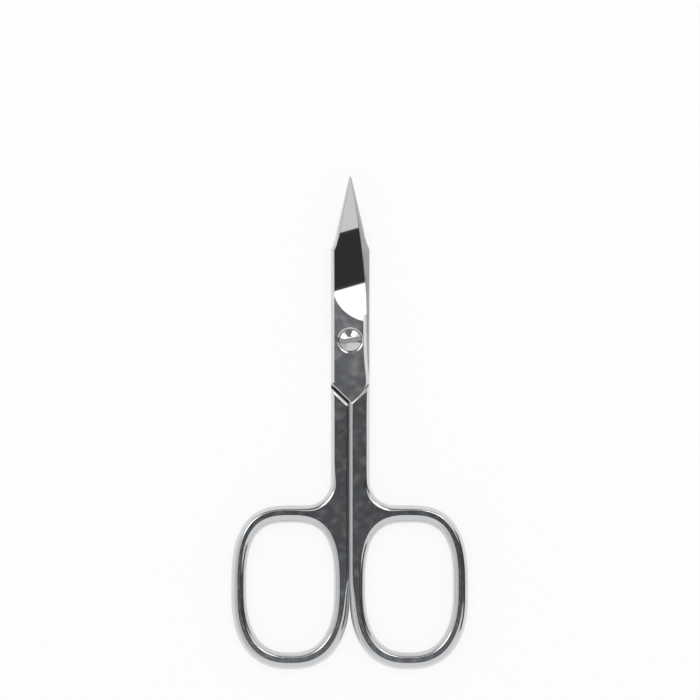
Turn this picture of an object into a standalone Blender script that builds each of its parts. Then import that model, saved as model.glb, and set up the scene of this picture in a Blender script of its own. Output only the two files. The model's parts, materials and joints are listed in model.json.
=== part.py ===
"""Curved manicure scissors: two forged steel halves that turn on one slotted pivot screw.

The scissors lie flat and closed, tip toward +Y, with the shanks and finger bows resting on
the plane z = 0. Each half is drawn in its own frame, with the pivot axis at the origin, the
plane between the two blades at height zero, its own shank at positive "across" and its own
outer face at positive "height". The lower half is the same forging turned over about +Y, and
both blades bend upward.
"""

import itertools
import math

import bmesh
import bpy
from mathutils import Vector
from mathutils.geometry import delaunay_2d_cdt

# Whole instrument, in metres
TOTAL_LENGTH = 0.090
PIVOT_TO_TIP = 0.0299
THICKNESS = 0.0032
SHANK_HALF_WIDTH = 0.0035
PIVOT_OFFSET = 0.00012
SIDE_CLEARANCE = 0.0001
LAP_CLEARANCE = 0.0001

# Finger bows
BOW_OPENING_WIDTH = 0.0161
BOW_OPENING_LENGTH = 0.0238
BOW_RIM_OUTER = 0.0027
BOW_RIM_INNER = 0.0028
BOW_RIM_TOP = 0.0031
BOW_RIM_END = 0.0030
BOW_WAIST_SHIFT = 0.0012
NECK_FILLET = 0.0045
BOW_TOP_FULLNESS = 2.75
BOW_END_FULLNESS = 2.42
OPENING_TOP_FULLNESS = 3.0
OPENING_END_FULLNESS = 2.55

# Lap joint, measured back from the pivot
PLATE_RECESS = 0.00015
NOTCH_OUTER_BACK = 0.0080
NOTCH_APEX_BACK = 0.0113
SHOULDER_SETBACK = 0.0007
LAP_OVERLAP = 0.0004
LAP_BURY = 0.00003
SEAM_INSET = 0.00002
TOOL_OVERRUN = 0.001

# Rounded edges: how far each one reaches in from the outline
PART_LINE_BEVEL = 0.0005
BOW_OUTER_ROUND = 0.0012
BOW_END_ROUND = 0.0015
OPENING_SIDE_ROUND = 0.00075
OPENING_TOP_ROUND = 0.0015
SHANK_ROUND = 0.00065
NOTCH_ROUND = 0.0006
FREE_EDGE_BEVEL = 0.0003
SHOULDER_ROUND = 0.00055
SPINE_ROUND = 0.0006
SPINE_TIP_ROUND = 0.00012
HEEL_ROUND = 0.0006
EDGE_BEVEL = 0.0002

# The same edges: how much of the height the rounding takes
PART_LINE_DROP_share = 0.24
BOW_DROP_share = 0.92
SHANK_DROP_share = 0.82
NOTCH_DROP_share = 0.2
SPINE_DROP_share = 0.75
EDGE_DROP_share = 0.82

# Blade outline, measured forward from the pivot
BLADE_SHOULDER_REACH = 0.0166
FLARE_REACH = 0.0200
FLARE_HALF_WIDTH = 0.00245
FLARE_BOW_REACH = 0.0181
FLARE_BOW_HALF_WIDTH = 0.00275
HEEL_TURN_BACK = 0.0066
HEEL_SWEEP_BACK = 0.0030
HEEL_SWEEP_HALF_WIDTH = 0.00294
EDGE_START_REACH = 0.0045
EDGE_START_HALF_WIDTH = 0.0030
EDGE_SWEEP_REACH = 0.0130
EDGE_SWEEP_HALF_WIDTH = 0.00315
TIP_ROUND = 0.0002

# Upward bend of both blades and the wheel-ground outer face
BEND_START = 0.0060
BEND_RADIUS = 0.1000
GRIND_TROUGH = 0.0120
GRIND_DEPTH = 0.0004
GRIND_RADIUS_ALONG = 0.070
GRIND_RADIUS_ACROSS = 0.083
GRIND_FALL_share = 0.095
GRIND_SKEW_share = 0.27

# Pivot screw and its seat
SCREW_HEAD_DIAMETER = 0.0040
SCREW_SHAFT_DIAMETER = 0.0024
SCREW_HEAD_RIM = 0.0003
SCREW_DOME_RISE = 0.00045
SCREW_END_CHAMFER = 0.0001
SLOT_WIDTH = 0.00062
SLOT_DEPTH = 0.00045
SLOT_ANGLE = 10.0
SEAT_DEPTH = 0.0007
SEAT_CLEARANCE = 0.00015
SEAT_FLARE = 0.00023
SEAT_FLARE_DEPTH = 0.00008
BORE_CLEARANCE = 0.00006
THREAD_CLEARANCE = 0.00004
HEAD_CLEARANCE = 0.00005

# Fineness of the faceted surfaces
RIM_STEPS = 4
OVAL_STEPS = 13
FILLET_STEPS = 7
SWEEP_STEPS = 7
EDGE_STEPS = 20
SIDE_STEPS = 2
CREASE_STEPS = 12
GRID_SPACING = 0.0010
GRID_MARGIN_share = 0.67
RIM_MARGIN_share = 0.5
CREASE_MARGIN_share = 0.25
SOFTEN_PASSES = 4
RUN_OUT_PASSES = 8
TURN_STEPS = 48
DOME_STEPS = 6
SHARP_ANGLE = 32.0
JOIN_REACH = 0.0000004
INSIDE_ONLY = 1

UPPER = 1
LOWER = -1

PIVOT_TO_END = TOTAL_LENGTH - PIVOT_TO_TIP
HALF_THICKNESS = THICKNESS / 2
PLATE_HEIGHT = HALF_THICKNESS - PLATE_RECESS
PIVOT_PLACE = Vector((PIVOT_OFFSET, TOTAL_LENGTH / 2 - PIVOT_TO_TIP, HALF_THICKNESS))


def inner_edge(side):
    """Place of the face that a half turns to its twin, seen from the pivot in its own frame."""
    return SIDE_CLEARANCE / 2 - side * PIVOT_OFFSET


def notch_line(share):
    """Point on the slanted line where plate and shank meet, from the outer end (0) to the apex (1)."""
    across = SHANK_HALF_WIDTH * (1 - share)
    along = -NOTCH_OUTER_BACK - (NOTCH_APEX_BACK - NOTCH_OUTER_BACK) * share
    return Vector((across, along))


def blade_rise(across, along):
    """Lift of the lapped faces: a bend turned about the pivot axis, so that it never binds."""
    if along < 0:
        return 0.0
    reach = max(0.0, math.hypot(across, along) - BEND_START)
    return BEND_RADIUS - math.sqrt(BEND_RADIUS ** 2 - reach ** 2)


def lap_height(side, across, along):
    """Inner face of a blade in the half's own frame."""
    return LAP_CLEARANCE / 2 + side * blade_rise(across, along)


def grind_dip(across):
    """Depth of the grind below the plate along its trough: deeper toward the cutting edge."""
    return GRIND_DEPTH + GRIND_FALL_share * across - across ** 2 / (2 * GRIND_RADIUS_ACROSS)


def grind_trough(across):
    """Where the wheel cuts deepest, skewed so that it lies nearer the tip at the cutting edge."""
    return GRIND_TROUGH + GRIND_SKEW_share * across


def outer_height(side, across, along):
    """Outer face of plate and blade: flat round the pivot, wheel-ground toward the tip."""
    swing = along - grind_trough(across)
    ground = PLATE_HEIGHT - grind_dip(across) + swing ** 2 / (2 * GRIND_RADIUS_ALONG)
    ground -= (1 - side) * blade_rise(across, along)
    if swing < 0:
        return min(PLATE_HEIGHT, ground)
    return ground


def run_out_reach(side, across):
    """Where the ground face runs out into the flat plate, found by closing in on the crossing."""
    along = grind_trough(across)
    for _ in range(RUN_OUT_PASSES):
        depth = grind_dip(across) + (1 - side) * blade_rise(across, along)
        along = grind_trough(across) - math.sqrt(2 * GRIND_RADIUS_ALONG * max(depth, 0.0))
    return along


def oval_stretch(centre, half_width, half_length, fullness, start, end):
    """Quarter or more of a full oval between two turning angles in degrees."""
    points = []
    for step in range(OVAL_STEPS + 1):
        angle = math.radians(start + (end - start) * step / OVAL_STEPS)
        across = math.cos(angle)
        along = math.sin(angle)
        reach = (abs(across) ** fullness + abs(along) ** fullness) ** (-1 / fullness)
        points.append(centre + Vector((half_width * across * reach, half_length * along * reach)))
    return points


def arc_stretch(centre, radius, start, end, steps):
    """Points of a circular arc between two turning angles in degrees."""
    points = []
    for step in range(steps + 1):
        angle = math.radians(start + (end - start) * step / steps)
        points.append(centre + Vector((radius * math.cos(angle), radius * math.sin(angle))))
    return points


def sweep_stretch(start, control, end, steps):
    """Points of a quadratic curve that leaves start toward control and arrives at end from it."""
    points = []
    for step in range(steps + 1):
        share = step / steps
        first = start.lerp(control, share)
        second = control.lerp(end, share)
        points.append(first.lerp(second, share))
    return points


def add_stretch(outline, points, width, drop_share):
    """Append points with their edge rounding, leaving out a point that repeats the last one."""
    for point in points:
        if outline and (outline[-1][0] - point).length < SEAM_INSET:
            continue
        outline.append((point, width, drop_share))


def soften(outline):
    """Let the edge rounding change gradually where one stretch follows another."""
    for _ in range(SOFTEN_PASSES):
        blended = []
        for index, (point, width, drop) in enumerate(outline):
            before = outline[index - 1]
            after = outline[(index + 1) % len(outline)]
            width = (before[1] + 2 * width + after[1]) / 4
            drop = (before[2] + 2 * drop + after[2]) / 4
            blended.append((point, width, drop))
        outline = blended
    return outline


def bow_box(side):
    """Corners of the opening and of the bow round it: inner, outer, end and top places."""
    opening_inner = inner_edge(side) + BOW_RIM_INNER
    opening_outer = opening_inner + BOW_OPENING_WIDTH
    opening_end = BOW_RIM_END - PIVOT_TO_END
    opening_top = opening_end + BOW_OPENING_LENGTH
    return opening_inner, opening_outer, opening_end, opening_top


def handle_outline(side):
    """Shank and bow, counter-clockwise, from the apex of the notch down the inner face."""
    opening_inner, opening_outer, opening_end, opening_top = bow_box(side)
    bow_inner = inner_edge(side)
    bow_outer = opening_outer + BOW_RIM_OUTER
    bow_end = -PIVOT_TO_END
    bow_top = opening_top + BOW_RIM_TOP
    centre = Vector(((bow_inner + bow_outer) / 2, (bow_end + bow_top) / 2))
    half_width = (bow_outer - bow_inner) / 2
    half_length = (bow_top - bow_end) / 2
    neck = Vector((SHANK_HALF_WIDTH + NECK_FILLET, bow_top + NECK_FILLET))
    apex = Vector((bow_inner, notch_line(1).y))
    touch = Vector((bow_inner, centre.y - BOW_WAIST_SHIFT))
    part_line = [apex.lerp(touch, step / SWEEP_STEPS) for step in range(SWEEP_STEPS)]
    end_centre = centre - Vector((0.0, BOW_WAIST_SHIFT))
    end_length = half_length - BOW_WAIST_SHIFT
    inner_quarter = oval_stretch(end_centre, half_width, end_length, BOW_END_FULLNESS, 180, 270)
    outer_quarter = oval_stretch(end_centre, half_width, end_length, BOW_END_FULLNESS, 270, 360)
    top_quarter = oval_stretch(centre, half_width, half_length, BOW_TOP_FULLNESS, 0, 90)
    fillet = arc_stretch(neck, NECK_FILLET, 270, 180, FILLET_STEPS)
    shank_top = notch_line(0)
    shank_side = [fillet[-1].lerp(shank_top, step / SIDE_STEPS) for step in range(SIDE_STEPS)]
    notch = [shank_top.lerp(apex, step / RIM_STEPS) for step in range(RIM_STEPS)]
    outline = []
    add_stretch(outline, part_line, PART_LINE_BEVEL, PART_LINE_DROP_share)
    add_stretch(outline, inner_quarter, BOW_END_ROUND, BOW_DROP_share)
    add_stretch(outline, outer_quarter, BOW_END_ROUND, BOW_DROP_share)
    add_stretch(outline, top_quarter, BOW_OUTER_ROUND, BOW_DROP_share)
    add_stretch(outline, fillet, BOW_OUTER_ROUND, BOW_DROP_share)
    add_stretch(outline, shank_side, SHANK_ROUND, SHANK_DROP_share)
    add_stretch(outline, notch, NOTCH_ROUND, NOTCH_DROP_share)
    return soften(outline)


def opening_outline(side):
    """Finger opening, clockwise, rounded over most at the top, where the finger pulls."""
    opening_inner, opening_outer, opening_end, opening_top = bow_box(side)
    centre = Vector(((opening_inner + opening_outer) / 2, (opening_end + opening_top) / 2))
    half_width = BOW_OPENING_WIDTH / 2
    half_length = BOW_OPENING_LENGTH / 2
    quarters = []
    quarters += oval_stretch(centre, half_width, half_length, OPENING_TOP_FULLNESS, 180, 90)
    quarters += oval_stretch(centre, half_width, half_length, OPENING_TOP_FULLNESS, 90, 0)
    quarters += oval_stretch(centre, half_width, half_length, OPENING_END_FULLNESS, 0, -90)
    quarters += oval_stretch(centre, half_width, half_length, OPENING_END_FULLNESS, -90, -180)
    outline = []
    for point in quarters:
        lift = max(0.0, (point.y - centre.y) / half_length)
        width = OPENING_SIDE_ROUND + (OPENING_TOP_ROUND - OPENING_SIDE_ROUND) * lift ** 2
        add_stretch(outline, [point], width, BOW_DROP_share)
    outline.pop()
    return outline


def blade_outline(side):
    """Plate and blade, counter-clockwise, from the tip down the spine and back up the edge."""
    seam_inner = inner_edge(side) + SEAM_INSET
    plate_edge = SHANK_HALF_WIDTH - SEAM_INSET
    apex_back = -NOTCH_APEX_BACK
    buried = SHOULDER_SETBACK + LAP_OVERLAP
    tip = Vector((0.0, PIVOT_TO_TIP))
    spine_tip = Vector((-TIP_ROUND, PIVOT_TO_TIP - TIP_ROUND))
    edge_tip = Vector((TIP_ROUND, PIVOT_TO_TIP - TIP_ROUND))
    flare_start = Vector((-FLARE_HALF_WIDTH, FLARE_REACH))
    flare_pull = Vector((-FLARE_BOW_HALF_WIDTH, FLARE_BOW_REACH))
    shoulder = Vector((-SHANK_HALF_WIDTH, BLADE_SHOULDER_REACH))
    free_corner = Vector((-SHANK_HALF_WIDTH, -NOTCH_OUTER_BACK))
    apex = Vector((seam_inner, apex_back))
    heel_turn = Vector((plate_edge, -HEEL_TURN_BACK))
    heel_pull = Vector((HEEL_SWEEP_HALF_WIDTH, -HEEL_SWEEP_BACK))
    edge_start = Vector((EDGE_START_HALF_WIDTH, EDGE_START_REACH))
    edge_pull = Vector((EDGE_SWEEP_HALF_WIDTH, EDGE_SWEEP_REACH))
    buried_inner = Vector((seam_inner, apex_back - buried))
    buried_outer = Vector((plate_edge - SHANK_ROUND, notch_line(0).y - buried))
    seated = Vector((plate_edge - SHANK_ROUND, notch_line(0).y - SHANK_ROUND))
    plate_corner = Vector((plate_edge, notch_line(0).y))
    outline = []
    for step in range(SWEEP_STEPS + 1):
        share = step / SWEEP_STEPS
        width = SPINE_TIP_ROUND + (SPINE_ROUND - SPINE_TIP_ROUND) * math.sqrt(share)
        add_stretch(outline, [spine_tip.lerp(flare_start, share)], width, SPINE_DROP_share)
    flare = sweep_stretch(flare_start, flare_pull, shoulder, SWEEP_STEPS)
    spine = [shoulder.lerp(free_corner, step / OVAL_STEPS) for step in range(OVAL_STEPS)]
    free_edge = [free_corner.lerp(apex, step / RIM_STEPS) for step in range(RIM_STEPS)]
    heel = [plate_corner, *sweep_stretch(heel_turn, heel_pull, edge_start, SWEEP_STEPS)]
    edge = sweep_stretch(edge_start, edge_pull, edge_tip, EDGE_STEPS)[1:]
    add_stretch(outline, flare, SPINE_ROUND, SPINE_DROP_share)
    add_stretch(outline, spine, SPINE_ROUND, SPINE_DROP_share)
    add_stretch(outline, free_edge, FREE_EDGE_BEVEL, NOTCH_DROP_share)
    add_stretch(outline, [apex, buried_inner, buried_outer, seated], FREE_EDGE_BEVEL, NOTCH_DROP_share)
    add_stretch(outline, heel, HEEL_ROUND, SPINE_DROP_share)
    add_stretch(outline, edge, EDGE_BEVEL, EDGE_DROP_share)
    add_stretch(outline, [tip], SPINE_TIP_ROUND, SPINE_DROP_share)
    return outline


def inset_loop(outline, reach):
    """Move each point of a closed loop to its left, into the material, by a share of its rounding."""
    moved = []
    for index, (point, width, _) in enumerate(outline):
        before = (point - outline[index - 1][0]).normalized()
        after = (outline[(index + 1) % len(outline)][0] - point).normalized()
        mitre = Vector((-before.y - after.y, before.x + after.x))
        moved.append(point + mitre * (2 * width * reach / mitre.length_squared))
    return moved


def rim_rings(mesh, outline, surface, foot, steps):
    """Rings of vertices that roll an edge over, from the outline up to the face it bounds."""
    rings = []
    loops = []
    for step in range(steps + 1):
        angle = math.radians(90 * step / steps) if steps else math.radians(90)
        reach = 1 - math.cos(angle) if steps else 0.0
        loop = inset_loop(outline, reach)
        ring = []
        for place, (_, _, drop_share) in zip(loop, outline):
            top = surface(place.x, place.y)
            drop = drop_share * (top - foot(place.x, place.y)) * (1 - math.sin(angle))
            ring.append(mesh.verts.new((place.x, place.y, top - drop)))
        rings.append(ring)
        loops.append(loop)
    for lower, upper in zip(rings, rings[1:]):
        bridge(mesh, lower, upper)
    return rings, loops[-1]


def bridge(mesh, first, second):
    """Join two closed rings of equal length with quads."""
    for index in range(len(first)):
        following = (index + 1) % len(first)
        mesh.faces.new((first[index], first[following], second[following], second[index]))


def inside(loops, place):
    """Whether a place lies inside the outline and outside its openings."""
    crossings = 0
    for loop in loops:
        for index, start in enumerate(loop):
            end = loop[index - 1]
            if (start.y > place.y) != (end.y > place.y):
                share = (place.y - start.y) / (end.y - start.y)
                crossings += place.x < start.x + share * (end.x - start.x)
    return crossings % 2 == 1


def distance_to_loops(loops, place):
    """Distance from a place to the nearest side of some closed loops."""
    shortest = math.inf
    for loop in loops:
        for index, end in enumerate(loop):
            start = loop[index - 1]
            run = end - start
            share = min(1.0, max(0.0, (place - start).dot(run) / run.length_squared))
            shortest = min(shortest, (start + run * share - place).length)
    return shortest


def distance_to_points(points, place):
    """Distance from a place to the nearest of some points."""
    return min(((point - place).length for point in points), default=math.inf)


def fill_face(mesh, rings, loops, surface, creases, spacing):
    """Triangulate a face within its rings, with creases kept and a grid of points where it curves."""
    corners = [vertex for ring in rings for vertex in ring]
    places = [point for loop in loops for point in loop]
    links = []
    start = 0
    for loop in loops:
        links += [(start + index, start + (index + 1) % len(loop)) for index in range(len(loop))]
        start += len(loop)
    added = []
    for crease in creases:
        margin = spacing * CREASE_MARGIN_share
        kept = [p for p in crease if inside(loops, p) and distance_to_loops(loops, p) > margin]
        first = len(places) + len(added)
        links += [(first + index, first + index + 1) for index in range(len(kept) - 1)]
        added += kept
    if creases:
        rows = math.ceil(PIVOT_TO_TIP / spacing)
        columns = math.ceil(SHANK_HALF_WIDTH / spacing)
        for row, column in itertools.product(range(1, rows), range(-columns, columns + 1)):
            place = Vector(((column + row % 2 / 2) * spacing, row * spacing))
            margin = spacing * RIM_MARGIN_share
            if not inside(loops, place) or distance_to_loops(loops, place) < margin:
                continue
            if distance_to_points(added, place) > spacing * GRID_MARGIN_share:
                added.append(place)
    places += added
    filled = delaunay_2d_cdt(places, links, [], INSIDE_ONLY, JOIN_REACH)
    flat, _, triangles, sources, _, _ = filled
    vertices = []
    for place, source in zip(flat, sources):
        if source and source[0] < len(corners):
            vertices.append(corners[source[0]])
        else:
            vertices.append(mesh.verts.new((place.x, place.y, surface(place.x, place.y))))
    for triangle in triangles:
        centre = sum((flat[index] for index in triangle), Vector((0.0, 0.0))) / len(triangle)
        if not any(inside([opening], centre) for opening in loops[1:]):
            mesh.faces.new([vertices[index] for index in triangle])


def outline_solid(outlines, top, bottom, top_foot, bottom_foot, bottom_steps, creases, spacing):
    """Closed solid between two faces over an outline with openings, with rolled edges."""
    mesh = bmesh.new()
    sides = []
    faces = ((top, top_foot, RIM_STEPS), (bottom, bottom_foot, bottom_steps))
    for surface, foot, steps in faces:
        built = [rim_rings(mesh, outline, surface, foot, steps) for outline in outlines]
        ends = [rings[-1] for rings, _ in built]
        loops = [loop for _, loop in built]
        fill_face(mesh, ends, loops, surface, creases, spacing)
        sides.append([rings[0] for rings, _ in built])
    for upper, lower in zip(sides[0], sides[1]):
        bridge(mesh, lower, upper)
    loose = [vertex for vertex in mesh.verts if not vertex.link_faces]
    bmesh.ops.delete(mesh, geom=loose, context="VERTS")
    bmesh.ops.recalc_face_normals(mesh, faces=mesh.faces)
    return mesh


def handle_solid(side):
    """Shank and bow at full thickness, rounded alike above and below."""
    outlines = [handle_outline(side), opening_outline(side)]

    def top(across, along):
        return HALF_THICKNESS

    def bottom(across, along):
        return -HALF_THICKNESS

    def middle(across, along):
        return 0.0

    return outline_solid(outlines, top, bottom, middle, middle, RIM_STEPS, [], GRID_SPACING)


def blade_solid(side):
    """Plate and blade between the lapped inner face and the ground outer face."""

    def top(across, along):
        return outer_height(side, across, along)

    def bottom(across, along):
        return lap_height(side, across, along)

    crease = []
    for step in range(CREASE_STEPS + 1):
        across = SHANK_HALF_WIDTH * (2 * step / CREASE_STEPS - 1)
        crease.append(Vector((across, run_out_reach(side, across))))
    return outline_solid([blade_outline(side)], top, bottom, bottom, bottom, 0, [crease], GRID_SPACING)


def lap_relief_solid():
    """Cutter that clears a shank above its shoulder, where the twin's plate lies, and rounds its rim."""
    fall = (NOTCH_APEX_BACK - NOTCH_OUTER_BACK) / SHANK_HALF_WIDTH
    slant = math.hypot(1, fall)
    near = -inner_edge(UPPER) - TOOL_OVERRUN
    far = SHANK_HALF_WIDTH + TOOL_OVERRUN
    outer_face = -HALF_THICKNESS
    levels = [(LAP_CLEARANCE / 2 + LAP_BURY, 0.0)]
    for step in range(RIM_STEPS + 1):
        angle = math.radians(90 * step / RIM_STEPS)
        rim_height = outer_face + SHOULDER_ROUND * (1 - math.sin(angle))
        levels.append((rim_height, SHOULDER_ROUND * (1 - math.cos(angle))))
    levels.append((outer_face - TOOL_OVERRUN, SHOULDER_ROUND + TOOL_OVERRUN))
    mesh = bmesh.new()
    rings = []
    for height, spread in levels:
        outer_back = notch_line(0).y - SHOULDER_SETBACK - spread * slant
        far_back = outer_back + fall * (far - SHANK_HALF_WIDTH)
        near_back = outer_back + fall * (near - SHANK_HALF_WIDTH)
        corners = [(far, far_back), (far, 0.0), (near, 0.0), (near, near_back)]
        rings.append([mesh.verts.new((across, along, height)) for across, along in corners])
    for upper, lower in zip(rings, rings[1:]):
        bridge(mesh, upper, lower)
    mesh.faces.new(rings[0])
    mesh.faces.new(rings[-1])
    bmesh.ops.recalc_face_normals(mesh, faces=mesh.faces)
    return mesh


def turned_solid(profile):
    """Solid of revolution about the pivot axis from (radius, height) points, axis to axis."""
    mesh = bmesh.new()
    rings = []
    for radius, height in profile:
        if radius == 0:
            rings.append([mesh.verts.new((0.0, 0.0, height))])
            continue
        ring = []
        for step in range(TURN_STEPS):
            angle = 2 * math.pi * step / TURN_STEPS
            ring.append(mesh.verts.new((radius * math.cos(angle), radius * math.sin(angle), height)))
        rings.append(ring)
    for first, second in zip(rings, rings[1:]):
        if len(first) == len(second):
            bridge(mesh, first, second)
            continue
        pole, ring = (first[0], second) if len(first) == 1 else (second[0], first)
        for index in range(TURN_STEPS):
            mesh.faces.new((pole, ring[index], ring[(index + 1) % TURN_STEPS]))
    bmesh.ops.recalc_face_normals(mesh, faces=mesh.faces)
    return mesh


def seat_floor():
    """Height of the floor of the screw's seat above the plane between the blades."""
    return PLATE_HEIGHT - SEAT_DEPTH


def pivot_hole(side):
    """Cutter for a half's hole: bored and counterbored in the upper half, plain in the lower."""
    shaft = SCREW_SHAFT_DIAMETER / 2
    reach = HALF_THICKNESS + TOOL_OVERRUN
    if side == LOWER:
        radius = shaft + THREAD_CLEARANCE
        return turned_solid([(0, -TOOL_OVERRUN), (radius, -TOOL_OVERRUN), (radius, reach), (0, reach)])
    bore = shaft + BORE_CLEARANCE
    seat = SCREW_HEAD_DIAMETER / 2 + SEAT_CLEARANCE
    floor = seat_floor()
    mouth = seat + SEAT_FLARE
    profile = [(0, -TOOL_OVERRUN), (bore, -TOOL_OVERRUN), (bore, floor), (seat, floor)]
    profile += [(seat, PLATE_HEIGHT - SEAT_FLARE_DEPTH), (mouth, PLATE_HEIGHT), (mouth, reach), (0, reach)]
    return turned_solid(profile)


def screw_solid():
    """Domed head and plain shaft, turned as one piece and flush with the back of the lower plate."""
    shaft = SCREW_SHAFT_DIAMETER / 2
    head = SCREW_HEAD_DIAMETER / 2
    end = -PLATE_HEIGHT
    under = seat_floor() + HEAD_CLEARANCE
    rim = under + SCREW_HEAD_RIM
    sphere = (head ** 2 + SCREW_DOME_RISE ** 2) / (2 * SCREW_DOME_RISE)
    crown = rim + SCREW_DOME_RISE
    profile = [(0, end), (shaft - SCREW_END_CHAMFER, end), (shaft, end + SCREW_END_CHAMFER)]
    profile += [(shaft, under), (head, under)]
    for step in range(DOME_STEPS):
        radius = head * (1 - step / DOME_STEPS)
        profile.append((radius, crown - sphere + math.sqrt(sphere ** 2 - radius ** 2)))
    profile.append((0, crown))
    return turned_solid(profile)


def slot_solid():
    """Cutter for the driver slot, straight across the head and a little askew."""
    crown = seat_floor() + HEAD_CLEARANCE + SCREW_HEAD_RIM + SCREW_DOME_RISE
    mesh = bmesh.new()
    bmesh.ops.create_cube(mesh, size=1.0)
    size = (SCREW_HEAD_DIAMETER + TOOL_OVERRUN, SLOT_WIDTH, 2 * SLOT_DEPTH)
    bmesh.ops.scale(mesh, verts=mesh.verts, vec=size)
    bmesh.ops.translate(mesh, verts=mesh.verts, vec=(0.0, 0.0, crown))
    return mesh


def steel(name, colour, roughness):
    """Bare steel finish."""
    material = bpy.data.materials.new(name)
    material.use_nodes = True
    shader = material.node_tree.nodes["Principled BSDF"]
    shader.inputs["Base Color"].default_value = (*colour, 1.0)
    shader.inputs["Metallic"].default_value = 1.0
    shader.inputs["Roughness"].default_value = roughness
    return material


def place_object(name, mesh, side, material):
    """Make an object from a mesh drawn in a half's own frame, its origin on the pivot axis."""
    if side == LOWER:
        for vertex in mesh.verts:
            vertex.co = Vector((-vertex.co.x, vertex.co.y, -vertex.co.z))
    data = bpy.data.meshes.new(name)
    mesh.to_mesh(data)
    mesh.free()
    data.shade_smooth()
    data.set_sharp_from_angle(angle=math.radians(SHARP_ANGLE))
    item = bpy.data.objects.new(name, data)
    item.location = PIVOT_PLACE
    bpy.context.scene.collection.objects.link(item)
    if material is None:
        item.hide_render = True
        item.display_type = "WIRE"
    else:
        data.materials.append(material)
    return item


def combine(item, tool, operation):
    """Join or cut an object with a tool by a Boolean modifier."""
    modifier = item.modifiers.new(tool.name, "BOOLEAN")
    modifier.operation = operation
    modifier.object = tool
    modifier.solver = "EXACT"


def finish_cuts(item):
    """Keep an object's joined and cut shape as its mesh, and put its tools away."""
    depsgraph = bpy.context.evaluated_depsgraph_get()
    shaped = bpy.data.meshes.new_from_object(item.evaluated_get(depsgraph))
    tools = [modifier.object for modifier in item.modifiers]
    item.modifiers.clear()
    item.data = shaped
    shaped.set_sharp_from_angle(angle=math.radians(SHARP_ANGLE))
    for tool in tools:
        bpy.data.objects.remove(tool, do_unlink=True)


def build_half(name, side, material):
    """One forged half: shank and bow, relieved for the twin, with plate, blade and pivot hole."""
    half = place_object(name, handle_solid(side), side, material)
    relief = place_object(name + "_lap_relief", lap_relief_solid(), side, None)
    blade = place_object(name + "_blade", blade_solid(side), side, None)
    hole = place_object(name + "_pivot_hole", pivot_hole(side), side, None)
    combine(half, relief, "DIFFERENCE")
    combine(half, blade, "UNION")
    combine(half, hole, "DIFFERENCE")
    finish_cuts(half)


def build_screw(material):
    """Slotted pivot screw, driven down through the upper half into the lower one."""
    screw = place_object("pivot_screw", screw_solid(), UPPER, material)
    slot = place_object("pivot_screw_slot", slot_solid(), UPPER, None)
    slot.rotation_euler.z = math.radians(SLOT_ANGLE)
    combine(screw, slot, "DIFFERENCE")
    finish_cuts(screw)


def main():
    """Build the three pieces of the scissors."""
    for item in list(bpy.data.objects):
        bpy.data.objects.remove(item, do_unlink=True)
    half_steel = steel("polished_steel", (0.70, 0.71, 0.72), 0.18)
    screw_steel = steel("screw_steel", (0.70, 0.70, 0.71), 0.22)
    build_half("upper_half", UPPER, half_steel)
    build_half("lower_half", LOWER, half_steel)
    build_screw(screw_steel)


main()
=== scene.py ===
"""Looks of the curved manicure scissors: fine polished-steel shapes, their finishes and a plain studio.

Each half is drawn in its own frame, as a maker would draw one forging: the pivot axis stands at the
origin, the plane between the two blades is height zero, the half's own shank is at positive "across"
and its own outer face at positive "height". The lower half is the same forging turned over about +Y.
"""

import itertools
import json
import logging
import math
from collections.abc import Callable, Container, Iterable, Sequence
from dataclasses import astuple, dataclass, field, replace
from enum import Enum, IntEnum
from functools import partialmethod
from typing import Any

import bmesh
import bpy
import numpy as np
from mathutils import Matrix, Vector
from mathutils.geometry import delaunay_2d_cdt


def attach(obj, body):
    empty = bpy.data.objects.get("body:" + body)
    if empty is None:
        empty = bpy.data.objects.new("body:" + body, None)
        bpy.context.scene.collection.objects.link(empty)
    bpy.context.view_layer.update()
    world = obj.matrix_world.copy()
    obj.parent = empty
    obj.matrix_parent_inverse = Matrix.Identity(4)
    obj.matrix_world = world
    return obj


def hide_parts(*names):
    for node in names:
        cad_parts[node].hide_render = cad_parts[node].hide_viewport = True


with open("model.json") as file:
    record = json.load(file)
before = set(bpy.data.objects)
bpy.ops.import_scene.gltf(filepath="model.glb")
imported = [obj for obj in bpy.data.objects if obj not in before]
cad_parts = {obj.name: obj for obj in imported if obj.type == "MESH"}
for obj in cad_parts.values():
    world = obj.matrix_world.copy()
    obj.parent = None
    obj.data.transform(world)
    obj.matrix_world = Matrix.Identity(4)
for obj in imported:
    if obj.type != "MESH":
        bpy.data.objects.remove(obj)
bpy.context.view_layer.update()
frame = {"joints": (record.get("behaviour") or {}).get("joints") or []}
PIVOT = Vector(frame["joints"][0]["pos_m"])
log = logging.getLogger("scissors")

# How a face is triangulated: between its outlines only, with points nearer than this joined.
INSIDE_ONLY = 1
JOIN_REACH = 0.0000002
# Layer and level by which smooth shading favours the flat faces over the roundings beside them.
FIRMNESS = "__mod_weightednormals_faceweight"
FIRM = 16384

Item = bpy.types.Object
Material = bpy.types.Material
Mesh = bmesh.types.BMesh
Ring = Sequence[bmesh.types.BMVert]
Loops = Sequence[Sequence[Vector]]
Height = Callable[[float, float], float]
Pair = tuple[float, float]
Triple = tuple[float, float, float]
Colour = tuple[float, float, float, float]

WHITE: Colour = (1.0, 1.0, 1.0, 1.0)
BLACK: Colour = (0.0, 0.0, 0.0, 1.0)


class Side(IntEnum):
    """Which forging a half is: its blade lies above or below the plane between the blades."""

    UPPER = 1
    LOWER = -1


class Region(IntEnum):
    """Finish of a half's face, and its place in the list of materials that the halves share."""

    FLAT = 0
    RIM = 1
    GROUND = 2
    LAPPED = 3
    CUT = 4
    # Painted shade: faces deep in the gap between the halves, coloured near black to stand for the shade
    # there.
    GAP = 5
    PLATE = 6


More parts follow.
